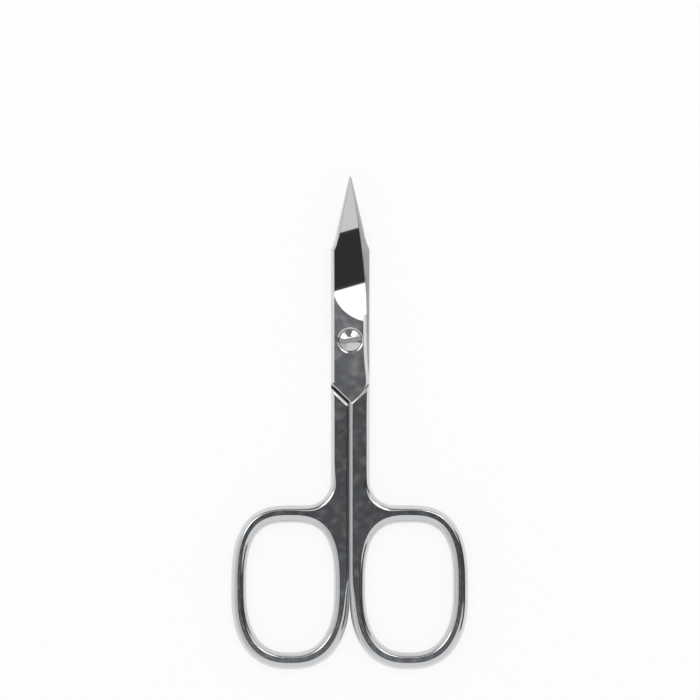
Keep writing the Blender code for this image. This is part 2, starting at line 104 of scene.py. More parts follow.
class ScrewRegion(IntEnum):
    """Finish of a face of the screw, and its place in the screw's list of materials."""

    TURNED = 0
    SLOT = 1


class Operation(Enum):
    """What a tool does to the solid that it is used on."""

    JOIN = "UNION"
    CUT = "DIFFERENCE"


@dataclass(frozen=True, eq=False)
class Socket:
    """A number in a shader that adds a Math node whenever it takes part in an expression."""

    graph: "Graph"
    output: bpy.types.NodeSocket

    def math(self, operation: str, *others: Any) -> "Socket":
        """Result of one Math node on this number and on other numbers or sockets."""
        inputs = dict(enumerate((self, *others)))
        return self.graph.add("ShaderNodeMath", inputs, operation=operation)["Value"]

    # The numbers' operators, each one Math node.
    __add__ = __radd__ = partialmethod(math, "ADD")
    __mul__ = __rmul__ = partialmethod(math, "MULTIPLY")
    __sub__ = partialmethod(math, "SUBTRACT")
    larger = partialmethod(math, "MAXIMUM")

    def ramp(self, low: float, high: float) -> "Socket":
        """Smooth rise from 0 where the number is low to 1 where it is high."""
        inputs = {"Value": self, 1: low, 2: high}
        return self.graph.add("ShaderNodeMapRange", inputs, interpolation_type="SMOOTHSTEP")["Result"]


class Graph:
    """The nodes of one material or of the world."""

    def __init__(self, owner: Material | bpy.types.World) -> None:
        """Start an empty node tree.

        Args:
            owner: What the nodes belong to.
        """
        owner.use_nodes = True
        self.tree = owner.node_tree
        self.tree.nodes.clear()

    def add(self, kind: str, inputs: dict[Any, Any] | None = None, **settings: Any) -> dict[str, Socket]:
        """Add any node.

        Args:
            kind: The node's type.
            inputs: Values or links by the name, identifier or number of each input in use.
            settings: What is set on the node itself, before its inputs.

        Returns:
            The node's outputs in use, by name.
        """
        node = self.tree.nodes.new(kind)
        for name, value in settings.items():
            setattr(node, name, value)
        for key, value in (inputs or {}).items():
            named = [s for i, s in enumerate(node.inputs) if key in (i, s.identifier, s.name)]
            socket = next(s for s in named if s.enabled)
            if isinstance(value, Socket):
                self.tree.links.new(value.output, socket)
            else:
                socket.default_value = value
        return {output.name: Socket(self, output) for output in node.outputs if output.enabled}

    def place(self, stretch: Triple) -> Socket:
        """Coordinates fixed to the piece, with a factor of features a metre for each axis."""
        local = self.add("ShaderNodeTexCoord")["Object"]
        return self.add("ShaderNodeMapping", {"Vector": local, "Scale": stretch})["Vector"]

    def noise(self, stretch: Triple, detail: float, rough: float = 0.5) -> Socket:
        """Soft random pattern from 0 to 1, with its number and strength of finer layers."""
        inputs = {"Vector": self.place(stretch), "Scale": 1.0, "Detail": detail, "Roughness": rough}
        return self.add("ShaderNodeTexNoise", inputs, noise_dimensions="3D")["Fac"]

    def layer(self, mask: Any, under: Any, over: Any) -> Socket:
        """One colour laid over another as far as the mask lets it show."""
        inputs = {"Factor_Float": mask, "A_Color": under, "B_Color": over}
        return self.add("ShaderNodeMix", inputs, data_type="RGBA")["Result"]

    def glow(self, colour: Colour, strength: float) -> Socket:
        """Shader that gives off light."""
        return self.add("ShaderNodeEmission", {"Color": colour, "Strength": strength})["Emission"]

    def show(self, shader: Socket) -> None:
        """Let a shader show on the surface."""
        self.add("ShaderNodeOutputMaterial", {"Surface": shader})


@dataclass(frozen=True)
class SteelFinish:
    """One finish of the steel: its blur, its tints, its grain, its waves and its marks.

    Patterns are given as features a metre, depths in metres, and ramps as the pattern's values
    between which a mark rises from nothing to its full strength.
    """

    name: str
    blur: float
    blur_spread: float
    colour: Colour = (0.70, 0.71, 0.72, 1.0)
    warm: Colour = (0.73, 0.71, 0.69, 1.0)
    cool: Colour = (0.66, 0.70, 0.74, 1.0)
    tint: float = 0.5
    grain: Triple = (9000.0, 260.0, 9000.0)
    grain_depth: float = 0.0
    wave: float = 900.0
    wave_depth: float = 0.0
    scratch: Triple = (1500.0, 90.0, 1500.0)
    scratch_depth: float = 0.0
    scratch_rough: float = 0.6
    scratch_ramp: Pair = (0.66, 0.74)
    cross_stretch: Triple = (0.8, 3.0, 0.8)
    cross_ramp: Pair = (0.70, 0.78)
    smudge: float = 420.0
    smudge_share: float = 0.3
    smudge_ramp: Pair = (0.42, 0.68)
    patch_ramp: Pair = (0.35, 0.65)
    least_blur: float = 0.02
    least_depth: float = 1e-9

    def material(self) -> Material:
        """Make the finish.

        Returns:
            The material.
        """
        made = bpy.data.materials.new(self.name)
        graph = Graph(made)
        smudges = graph.noise((self.smudge,) * 3, detail=3.0).ramp(*self.smudge_ramp)
        patches = graph.noise((self.smudge / 2,) * 3, detail=2.0).ramp(*self.patch_ramp)
        grain = graph.noise(self.grain, detail=2.0)
        waves = graph.noise((self.wave,) * 3, detail=1.0)
        across, along, height = (a * b for a, b in zip(self.scratch, self.cross_stretch))
        crossed = graph.noise((across, along, height), detail=1.0, rough=self.scratch_rough)
        scratches = graph.noise(self.scratch, detail=2.0, rough=self.scratch_rough)
        lines = scratches.ramp(*self.scratch_ramp).larger(crossed.ramp(*self.cross_ramp))
        tinted = graph.layer(patches, self.cool, self.warm)
        colour = graph.layer(smudges * self.tint, self.colour, tinted)
        worn = graph.layer(lines * self.smudge_share, colour, BLACK)
        marks = (smudges + grain) * 0.5 + lines * self.smudge_share
        roughness = self.blur + self.blur_spread * (marks - 0.5)
        depth = max(self.grain_depth + self.wave_depth + self.scratch_depth, self.least_depth)
        relief = grain * self.grain_depth + waves * self.wave_depth - lines * self.scratch_depth
        bump = graph.add("ShaderNodeBump", {"Height": relief * (1 / depth), "Distance": depth})
        inputs = {"Base Color": worn, "Roughness": roughness.larger(self.least_blur), "Metallic": 1.0,
                  "Normal": bump["Normal"]}
        graph.show(graph.add("ShaderNodeBsdfPrincipled", inputs)["BSDF"])
        return made


@dataclass(frozen=True)
class Rounding:
    """Edge rounding: how far it reaches in, how much of the height it takes, and its form.

    The form is 1 for a round edge and 2 for a straight chamfer.
    """

    width: float
    drop: float
    form: float = 1.0

    def toward(self, other: "Rounding", share: float) -> "Rounding":
        """The rounding that lies a share of the way to another one."""
        pairs = zip(astuple(self), astuple(other))
        return Rounding(*(mine + (theirs - mine) * share for mine, theirs in pairs))

    def inward(self, angle: float) -> float:
        """Share of its width that an edge has come in when it has rolled over by an angle."""
        return 1 - max(math.cos(angle), 0.0) ** self.form

    def below(self, angle: float) -> float:
        """Share of its drop that the edge still lies below its face then."""
        return 1 - math.sin(angle) ** self.form


@dataclass(frozen=True)
class Fineness:
    """How finely the curved surfaces are divided, and how clear their points stay of each other."""

    rim_steps: int = 10
    oval_steps: int = 44
    fillet_steps: int = 22
    spacing: float = 0.00035
    merge: float = 0.00002
    grid: float = 0.00030
    grid_start: float = -0.0020
    rim_margin: float = 0.00015
    crease_margin: float = 0.00006
    crease_gap: float = 0.00018
    soften_passes: int = 50
    turn_steps: int = 160
    dome_steps: int = 22
    sharp_angle: float = math.radians(32.0)
    fade_power: int = 4


FINE = Fineness()


def quarter(steps: int) -> list[float]:
    """Angles of a quarter turn in even steps, or only its start where there are none."""
    return [math.radians(90 * step / max(steps, 1)) for step in range(steps + 1)]


def steps_between(start: Vector, end: Vector) -> list[float]:
    """Shares of the way from one point to another in even steps, from 0 to 1."""
    steps = max(1, math.ceil((end - start).length / FINE.spacing))
    return [step / steps for step in range(steps + 1)]


def straight(start: Vector, end: Vector) -> list[Vector]:
    """Points of a line, without its end."""
    return [start.lerp(end, share) for share in steps_between(start, end)[:-1]]


def swept(start: Vector, pull: Vector, end: Vector) -> list[Vector]:
    """Points of a curve that leaves start toward a pulling point and arrives at end from it."""
    shares = steps_between(start, end)
    return [start.lerp(pull, share).lerp(pull.lerp(end, share), share) for share in shares]


@dataclass(frozen=True)
class Oval:
    """Full oval: its middle, half its sizes, and its fullness, which is 2 for an ellipse."""

    centre: Vector
    half: Vector
    fullness: float

    @classmethod
    def within(cls, inner: float, outer: float, end: float, top: float, fullness: float) -> "Oval":
        """Oval that fills a box."""
        centre = Vector(((inner + outer) / 2, (end + top) / 2))
        return cls(centre, Vector(((outer - inner) / 2, (top - end) / 2)), fullness)

    def arc(self, start: float, end: float, steps: int = FINE.oval_steps) -> list[Vector]:
        """Points between two turning angles in degrees, both ends with them.

        Args:
            start: First angle.
            end: Last angle.
            steps: Steps of a quarter turn.

        Returns:
            The points.
        """
        points = []
        count = round(abs(end - start) / 90 * steps)
        for step in range(count + 1):
            angle = math.radians(start + (end - start) * step / count)
            across, along = math.cos(angle), math.sin(angle)
            reach = (abs(across) ** self.fullness + abs(along) ** self.fullness) ** (-1 / self.fullness)
            points.append(self.centre + Vector((self.half.x * across * reach, self.half.y * along * reach)))
        return points

    def nearness(self, arc: Sequence[Vector]) -> list[float]:
        """How near each point of an arc is to the oval's top or bottom, from 0 to 1."""
        return [((point.y - self.centre.y) / self.half.y) ** FINE.fade_power for point in arc]


@dataclass
class Outline:
    """Closed outline of a piece, with the rounding of its edge at each point."""

    places: list[Vector] = field(default_factory=list)
    roundings: list[Rounding] = field(default_factory=list)

    def add(self, points: Iterable[Vector], rounding: Rounding) -> None:
        """Append points, but for any that repeats the last one.

        Args:
            points: The points.
            rounding: The rounding that they share.
        """
        for point in points:
            if not self.places or (self.places[-1] - point).length >= FINE.merge:
                self.places.append(point)
                self.roundings.append(rounding)

    def fade(self, points: Iterable[Vector], shares: Iterable[float], first: Rounding,
             last: Rounding) -> None:
        """Append points whose rounding lies a share of the way from the first to the last."""
        for point, share in zip(points, shares):
            self.add([point], first.toward(last, share))

    def soften(self) -> None:
        """Let the rounding change gradually from one stretch to the next."""
        traits = np.array([astuple(rounding) for rounding in self.roundings])
        for _ in range(FINE.soften_passes):
            traits = (np.roll(traits, 1, axis=0) + 2 * traits + np.roll(traits, -1, axis=0)) / 4
        self.roundings = [Rounding(*row) for row in traits.tolist()]

    def inset(self, angle: float) -> list[Vector]:
        """Move each point into the material as far as its rounding has rolled over.

        Args:
            angle: How far it has rolled, from 0 at the foot to a quarter turn at the face.

        Returns:
            The moved points.
        """
        moved = []
        before = (self.places[0] - self.places[-1]).normalized()
        for place, following, rounding in zip(self.places, onward(self.places), self.roundings):
            after = (following - place).normalized()
            mitre = Vector((-before.y - after.y, before.x + after.x))
            before = after
            reach = rounding.width * rounding.inward(angle)
            moved.append(place + mitre * (2 * reach / mitre.length_squared))
        return moved


def onward(ring: Sequence[Any]) -> Sequence[Any]:
    """The same ring, begun one place further on."""
    return [*ring[1:], ring[0]]


def bridge(mesh: Mesh, first: Ring, second: Ring, region: int) -> None:
    """Join two closed rings of equal length with quads."""
    for corners in zip(first, onward(first), onward(second), second):
        mesh.faces.new(corners).material_index = region


def closed(mesh: Mesh) -> Mesh:
    """The mesh, with every face turned outward."""
    bmesh.ops.recalc_face_normals(mesh, faces=mesh.faces)
    return mesh


@dataclass(frozen=True)
class Shell:
    """One of the two faces of a solid: its height, where its rim rolls to, and its finishes."""

    height: Height
    foot: Height
    steps: int
    region: Callable[[Vector], Region]
    creases: Loops = ()


class Area:
    """Region between closed loops, for asking what lies in it."""

    def __init__(self, loops: Loops) -> None:
        """Keep the sides of every loop."""
        self.starts = np.array([tuple(place) for loop in loops for place in loop])
        self.runs = np.array([tuple(place) for loop in loops for place in onward(loop)]) - self.starts

    def holds(self, place: Vector) -> bool:
        """Whether a place lies inside the outline and outside its openings.

        Args:
            place: The place.

        Returns:
            True if it does.
        """
        x, y = self.starts.T
        run_x, run_y = self.runs.T
        crossed = (y > place.y) != (y + run_y > place.y)
        share = (place.y - y) / np.where(run_y == 0, 1, run_y)
        return bool(np.count_nonzero(crossed & (place.x < x + share * run_x)) % 2)

    def distance(self, place: Vector) -> float:
        """Distance from a place to the nearest side.

        Args:
            place: The place.

        Returns:
            The distance.
        """
        offsets = np.array(tuple(place)) - self.starts
        lengths = (self.runs ** 2).sum(axis=1)
        shares = np.clip((offsets * self.runs).sum(axis=1) / lengths, 0, 1)
        return float(np.sqrt(((offsets - shares[:, None] * self.runs) ** 2).sum(axis=1)).min())


@dataclass
class RimmedSolid:
    """Closed solid between two faces with rolled edges, over an outer outline and its openings."""

    outlines: Sequence[Outline]
    mesh: Mesh = field(default_factory=bmesh.new)

    def build(self, top: Shell, bottom: Shell) -> Mesh:
        """Make the solid.

        Args:
            top: The upper face.
            bottom: The lower face.

        Returns:
            The closed mesh.
        """
        sides = []
        for shell in (top, bottom):
            built = [self.roll(outline, shell) for outline in self.outlines]
            self.fill([rings[-1] for rings, _ in built], [loop for _, loop in built], shell)
            sides.append([rings[0] for rings, _ in built])
        for upper, lower in zip(*sides):
            bridge(self.mesh, lower, upper, Region.RIM)
        loose = [vertex for vertex in self.mesh.verts if not vertex.link_faces]
        bmesh.ops.delete(self.mesh, geom=loose, context="VERTS")
        return closed(self.mesh)

    def roll(self, outline: Outline, shell: Shell) -> tuple[list[Ring], list[Vector]]:
        """Roll an edge over, from the outline up to the face that it bounds.

        Args:
            outline: The edge.
            shell: The face.

        Returns:
            The rings of vertices from the foot up, and the last ring's places.
        """
        rings, loop = [], []
        for angle in quarter(shell.steps):
            loop = outline.inset(angle)
            ring = []
            for place, rounding in zip(loop, outline.roundings):
                top = shell.height(place.x, place.y)
                fall = rounding.drop * (top - shell.foot(place.x, place.y)) * rounding.below(angle)
                ring.append(self.mesh.verts.new((place.x, place.y, top - fall)))
            rings.append(ring)
        for lower, upper in zip(rings, rings[1:]):
            bridge(self.mesh, lower, upper, Region.RIM)
        return rings, loop

    def fill(self, rings: Sequence[Ring], loops: Loops, shell: Shell) -> None:
        """Triangulate a face within its rings and along its creases, on a fine grid where it curves.

        Args:
            rings: Vertices of each loop.
            loops: Places of the same.
            shell: The face's height, creases and finish.
        """
        corners = [vertex for ring in rings for vertex in ring]
        places, links = [], []
        for loop in loops:
            numbers = range(len(places), len(places) + len(loop))
            links += zip(numbers, onward(numbers))
            places += loop
        area = Area(loops)
        for crease in shell.creases:
            kept = [p for p in crease if area.holds(p) and area.distance(p) > FINE.crease_margin]
            links += itertools.pairwise(range(len(places), len(places) + len(kept)))
            places += kept
        if shell.creases:
            places += self.grid(area, places[len(corners):])
        flat, _, triangles, sources, _, _ = delaunay_2d_cdt(places, links, [], INSIDE_ONLY, JOIN_REACH)
        vertices = []
        for place, source in zip(flat, sources):
            known = bool(source) and source[0] < len(corners)
            height = shell.height(place.x, place.y)
            vertices.append(corners[source[0]] if known else self.mesh.verts.new((*place, height)))
        openings = [Area([loop]) for loop in loops[1:]]
        for triangle in triangles:
            middle = sum((flat[index] for index in triangle), Vector((0.0, 0.0))) / len(triangle)
            if not any(opening.holds(middle) for opening in openings):
                face = self.mesh.faces.new([vertices[index] for index in triangle])
                face.material_index = shell.region(middle)

    @staticmethod
    def grid(area: Area, crease: Sequence[Vector]) -> list[Vector]:
        """Staggered grid of points over the blade, clear of its rim and its crease.

        Args:
            area: The blade's face.
            crease: Points of its creases.

        Returns:
            The grid's points.
        """
        low = area.starts.min(axis=0)
        high = area.starts.max(axis=0)
        rows = range(math.floor(max(low[1], FINE.grid_start) / FINE.grid), math.ceil(high[1] / FINE.grid))
        columns = range(math.floor(low[0] / FINE.grid), math.ceil(high[0] / FINE.grid) + 1)
        marks = np.array([tuple(p) for p in crease])
        points = []
        for row, column in itertools.product(rows, columns):
            place = Vector(((column + row % 2 / 2) * FINE.grid, row * FINE.grid))
            if not area.holds(place) or area.distance(place) < FINE.rim_margin:
                continue
            if np.hypot(*(marks - np.array(tuple(place))).T).min() > FINE.crease_gap:
                points.append(place)
        return points


def turned(profile: Sequence[Pair], region: int) -> Mesh:
    """Solid of revolution about the pivot axis.

    Args:
        profile: Radius and height of each step, from axis to axis.
        region: Finish of its faces.

    Returns:
        The closed mesh.
    """
    mesh = bmesh.new()
    rings = []
    for radius, height in profile:
        turns = FINE.turn_steps if radius else 1
        angles = [2 * math.pi * step / FINE.turn_steps for step in range(turns)]
        rings.append([mesh.verts.new((radius * math.cos(a), radius * math.sin(a), height)) for a in angles])
    for first, second in zip(rings, rings[1:]):
        if len(first) == len(second):
            bridge(mesh, first, second, region)
            continue
        pole, ring = (first[0], second) if len(first) == 1 else (second[0], first)
        for pair in zip(ring, onward(ring)):
            mesh.faces.new((pole, *pair)).material_index = region
    return closed(mesh)


@dataclass(frozen=True)
class Whole:
    """Sizes of the closed scissors that every piece shares, in metres."""

    length: float = 0.090
    tip_reach: float = 0.0299
    thickness: float = 0.0032
    shank_half_width: float = 0.0035
    pivot_offset: float = 0.00012
    side_clearance: float = 0.00004
    lap_clearance: float = 0.0001
    plate_recess: float = 0.00015
    overrun: float = 0.001

    @property
    def half_thickness(self) -> float:
        """Height of a shank's outer face."""
        return self.thickness / 2

    @property
    def plate_height(self) -> float:
        """Height of a plate's outer face, a little below the shank's."""
        return self.half_thickness - self.plate_recess

    @property
    def end_reach(self) -> float:
        """Distance from the pivot back to the bows' far end."""
        return self.length - self.tip_reach

    def inner_edge(self, side: Side) -> float:
        """Place of the face that a half turns to its twin."""
        return self.side_clearance / 2 - side * self.pivot_offset


WHOLE = Whole()


@dataclass(frozen=True)
class LapJoint:
    """The slanted shoulders where plate and shank meet, measured back from the pivot.

    Within corner_clear of the notch's sharp outer corner the outline has no other point, since its
    rounding would fold over itself there.
    """

    outer_back: float = 0.0080
    apex_back: float = 0.0113
    setback: float = 0.0007
    overlap: float = 0.0004
    bury: float = 0.00003
    seam_inset: float = 0.00002
    corner_clear: float = 0.0016
    shoulder_round: Rounding = Rounding(0.00046, 0.00016, 1.5)
    notch_round: Rounding = Rounding(0.0005, 0.2, 1.5)
    shank_round: Rounding = Rounding(0.00065, 0.82, 1.3)
    bevel: Rounding = Rounding(0.0003, 0.2)

    def line(self, share: float) -> Vector:
        """Point on the slant, from its outer end (0) to its apex (1)."""
        half = WHOLE.shank_half_width
        return Vector((half * (1 - share), -self.outer_back - (self.apex_back - self.outer_back) * share))

    def relief(self) -> Mesh:
        """Cutter that clears a shank above its shoulder and rounds the shoulder's rim.

        Returns:
            The closed mesh.
        """
        fall = (self.apex_back - self.outer_back) / WHOLE.shank_half_width
        slant = math.hypot(1, fall)
        near = -WHOLE.inner_edge(Side.UPPER) - WHOLE.overrun
        far = WHOLE.shank_half_width + WHOLE.overrun
        outer_face = -WHOLE.half_thickness
        levels = [(WHOLE.lap_clearance / 2 + self.bury, 0.0)]
        rim = self.shoulder_round
        for angle in quarter(FINE.rim_steps):
            levels.append((outer_face + rim.drop * rim.below(angle), rim.width * rim.inward(angle)))
        levels.append((outer_face - WHOLE.overrun, rim.width + WHOLE.overrun))
        mesh = bmesh.new()
        rings = []
        for height, spread in levels:
            back = self.line(0).y - self.setback - spread * slant
            ends = [(across, back + fall * (across - WHOLE.shank_half_width)) for across in (far, near)]
            corners = (ends[0], (far, 0.0), (near, 0.0), ends[1])
            rings.append([mesh.verts.new((*corner, height)) for corner in corners])
        for upper, lower in zip(rings, rings[1:]):
            bridge(mesh, upper, lower, Region.RIM)
        # Painted shade: the cut floor of the relief, under the twin's plate, takes the near-black gap
        # finish.
        mesh.faces.new(rings[0]).material_index = Region.GAP
        mesh.faces.new(rings[-1]).material_index = Region.RIM
        return closed(mesh)


LAP = LapJoint()


@dataclass(frozen=True)
class Bow:
    """Shank and finger bow of one half."""

    side: Side
    opening_width: float = 0.0161
    opening_length: float = 0.0238
    rim_outer: float = 0.0027
    rim_inner: float = 0.0028
    rim_top: float = 0.0031
    rim_end: float = 0.0030
    waist_shift: float = 0.0012
    neck_fillet: float = 0.0045
    top_fullness: float = 2.75
    end_fullness: float = 2.42
    opening_top_fullness: float = 3.0
    opening_end_fullness: float = 2.55
    part_line: Rounding = Rounding(0.00058, 0.26)
    outer_round: Rounding = Rounding(0.0012, 0.92)
    end_round: Rounding = Rounding(0.00125, 0.92)
    top_round: Rounding = Rounding(0.00078, 0.92, 1.15)
    neck_round: Rounding = Rounding(0.0011, 0.70)
    side_round: Rounding = Rounding(0.00108, 0.92)
    opening_top_round: Rounding = Rounding(0.0015, 0.92)
    opening_end_round: Rounding = Rounding(0.00085, 0.92, 1.15)

    @property
    def opening_box(self) -> tuple[float, float, float, float]:
        """Inner, outer, end and top places of the finger opening."""
        inner, end = WHOLE.inner_edge(self.side) + self.rim_inner, self.rim_end - WHOLE.end_reach
        return inner, inner + self.opening_width, end, end + self.opening_length

    def outline(self) -> Outline:
        """Shank and bow, counter-clockwise, from the apex of the notch down the inner face.

        Returns:
            The outline.
        """
        _, opening_outer, _, opening_top = self.opening_box
        inner, end = WHOLE.inner_edge(self.side), -WHOLE.end_reach
        outer, top = opening_outer + self.rim_outer, opening_top + self.rim_top
        upper = Oval.within(inner, outer, end, top, self.top_fullness)
        lower = Oval.within(inner, outer, end, top - 2 * self.waist_shift, self.end_fullness)
        shoulder = upper.arc(0, 90)
        neck = Vector((WHOLE.shank_half_width + self.neck_fillet, top + self.neck_fillet))
        fillet = Oval(neck, Vector((self.neck_fillet,) * 2), fullness=2.0).arc(270, 180, FINE.fillet_steps)
        apex = Vector((inner, LAP.line(1).y))
        corner = LAP.line(0)
        below = corner - Vector((0.0, LAP.corner_clear))
        beside = LAP.line(LAP.corner_clear / (LAP.line(1) - corner).length)
        outline = Outline()
        outline.add(straight(apex, Vector((inner, lower.centre.y))), self.part_line)
        outline.add(lower.arc(180, 360), self.end_round)
        outline.fade(shoulder, upper.nearness(shoulder), self.outer_round, self.top_round)
        outline.add(straight(shoulder[-1], fillet[0]), self.top_round)
        outline.add(fillet, self.neck_round)
        outline.add([*straight(fillet[-1], below), below, corner], LAP.shank_round)
        outline.add(straight(beside, apex), LAP.notch_round)
        outline.soften()
        return outline

    def opening(self) -> Outline:
        """Finger opening, clockwise, rounded over most at the top, where the finger pulls.

        Returns:
            The outline.
        """
        outline = Outline()
        upper = (180, self.opening_top_fullness, self.opening_top_round)
        lower = (0, self.opening_end_fullness, self.opening_end_round)
        for start, fullness, extreme in (upper, lower):
            shape = Oval.within(*self.opening_box, fullness)
            arc = shape.arc(start, start - 180)
            outline.fade(arc, shape.nearness(arc), self.side_round, extreme)
        outline.places.pop()
        outline.roundings.pop()
        return outline

    def face(self, height: float) -> Shell:
        """Flat face at a height, whose rim rolls to the middle of the thickness."""
        return Shell(lambda _x, _y: height, lambda _x, _y: 0.0, FINE.rim_steps, lambda _place: Region.FLAT)

    def solid(self) -> Mesh:
        """Shank and bow at full thickness, rounded alike above and below."""
        faces = [self.face(sign * WHOLE.half_thickness) for sign in (1, -1)]
        return RimmedSolid([self.outline(), self.opening()]).build(*faces)


@dataclass(frozen=True)
class Grind:
    """Upward bend of a blade and its wheel-ground outer face."""

    side: Side
    bend_start: float = 0.0060
    bend_radius: float = 0.1000
    trough: float = 0.0120
    depth: float = 0.0004
    radius_along: float = 0.070
    radius_across: float = 0.083
    fall: float = 0.095
    skew: float = 0.27
    passes: int = 8

    def rise(self, across: float, along: float) -> float:
        """Lift of the lapped faces, turned about the pivot axis so that it never binds."""
        reach = max(0.0, math.hypot(across, along) - self.bend_start) if along >= 0 else 0.0
        return self.bend_radius - math.sqrt(self.bend_radius ** 2 - reach ** 2)

    def inner(self, across: float, along: float) -> float:
        """Height of the lapped inner face."""
        return WHOLE.lap_clearance / 2 + self.side * self.rise(across, along)

    def dip(self, across: float) -> float:
        """Depth below the plate along the trough, deeper toward the cutting edge."""
        return self.depth + self.fall * across - across ** 2 / (2 * self.radius_across)

    def deepest(self, across: float) -> float:
        """Where the wheel cuts deepest."""
        return self.trough + self.skew * across

    def outer(self, across: float, along: float) -> float:
        """Height of the outer face, flat round the pivot and wheel-ground toward the tip.

        Args:
            across: Place across the blade.
            along: Place along it.

        Returns:
            The face's height.
        """
        swing = along - self.deepest(across)
        ground = WHOLE.plate_height - self.dip(across) + swing ** 2 / (2 * self.radius_along)
        ground -= (1 - self.side) * self.rise(across, along)
        return min(WHOLE.plate_height, ground) if swing < 0 else ground

    def run_out(self, across: float) -> float:
        """Where the ground face runs out into the flat plate.

        Args:
            across: Place across the blade.

        Returns:
            The place along it, found by closing in on the crossing.
        """
        along = self.deepest(across)
        for _ in range(self.passes):
            depth = self.dip(across) + (1 - self.side) * self.rise(across, along)
            along = self.deepest(across) - math.sqrt(2 * self.radius_along * max(depth, 0.0))
        return along


@dataclass(frozen=True)
class Blade:
    """Plate and blade of one half, measured forward from the pivot."""

    side: Side
    shoulder: float = 0.0166
    flare: Pair = (-0.00245, 0.0200)
    flare_pull: Pair = (-0.00275, 0.0181)
    heel_turn: float = -0.0066
    heel_pull: Pair = (0.00294, -0.0030)
    edge_start: Pair = (0.0030, 0.0045)
    edge_pull: Pair = (0.00315, 0.0130)
    tip_round: float = 0.0002
    spine_round: Rounding = Rounding(0.0006, 0.75, 1.6)
    tip_rounding: Rounding = Rounding(0.00012, 0.75)
    heel_round: Rounding = Rounding(0.0006, 0.75, 1.8)
    edge_bevel: Rounding = Rounding(0.0002, 0.82)
    edge_heel_bevel: Rounding = Rounding(0.00005, 0.5)

    def outline(self) -> Outline:
        """Plate and blade, counter-clockwise, from the tip down the spine and back up the edge.

        Returns:
            The outline.
        """
        half = WHOLE.shank_half_width
        seam = WHOLE.inner_edge(self.side) + LAP.seam_inset
        plate_edge = half - LAP.seam_inset
        buried = LAP.setback + LAP.overlap
        back = LAP.line(0).y
        tip = Vector((0.0, WHOLE.tip_reach))
        spine_tip = tip + Vector((-self.tip_round, -self.tip_round))
        edge_tip = tip + Vector((self.tip_round, -self.tip_round))
        flare = Vector(self.flare)
        shoulder = Vector((-half, self.shoulder))
        free_corner = Vector((-half, back))
        apex = Vector((seam, -LAP.apex_back))
        heel_turn = Vector((plate_edge, self.heel_turn))
        edge_start = Vector(self.edge_start)
        shank_round = LAP.shank_round.width
        sunk = plate_edge - shank_round
        outline = Outline()
        spine = straight(spine_tip, flare)
        shares = [math.sqrt(index / len(spine)) for index in range(len(spine))]
        outline.fade(spine, shares, self.tip_rounding, self.spine_round)
        flank = [*swept(flare, Vector(self.flare_pull), shoulder), *straight(shoulder, free_corner)]
        outline.add(flank, self.spine_round)
        hidden = ((seam, -LAP.apex_back - buried), (sunk, back - buried), (sunk, back - shank_round))
        outline.add([*straight(free_corner, apex), apex, *map(Vector, hidden)], LAP.bevel)
        outline.add(straight(Vector((plate_edge, back)), heel_turn), self.heel_round)
        outline.add(swept(heel_turn, Vector(self.heel_pull), edge_start), self.heel_round)
        edge = swept(edge_start, Vector(self.edge_pull), edge_tip)
        shares = [index / len(edge) for index in range(1, len(edge))]
        outline.fade(edge[1:], shares, self.edge_heel_bevel, self.edge_bevel)
        outline.add([tip], self.tip_rounding)
        return outline

    def solid(self) -> Mesh:
        """Plate and blade between the lapped inner face and the ground outer face.

        Returns:
            The closed mesh.
        """
        grind = Grind(self.side)

        def finish(place: Vector) -> Region:
            """Finish of the outer face."""
            return Region.GROUND if place.y > grind.run_out(place.x) else Region.PLATE

        def mating(place: Vector) -> Region:
            """Finish of the inner face, coloured with painted shade in the gap before the shoulder."""
            return Region.GAP if place.y < LAP.line(1 - place.x / half).y else Region.LAPPED

        half = WHOLE.shank_half_width
        steps = math.ceil(2 * half / FINE.grid)
        seam = [LAP.line(step / steps) for step in range(steps + 1)]
        spread = [half * (2 * step / steps - 1) for step in range(steps + 1)]
        run_out = [Vector((across, grind.run_out(across))) for across in spread]
        top = Shell(grind.outer, grind.inner, FINE.rim_steps, finish, [run_out])
        bottom = Shell(grind.inner, grind.inner, 0, mating, [run_out, seam])
        return RimmedSolid([self.outline()]).build(top, bottom)


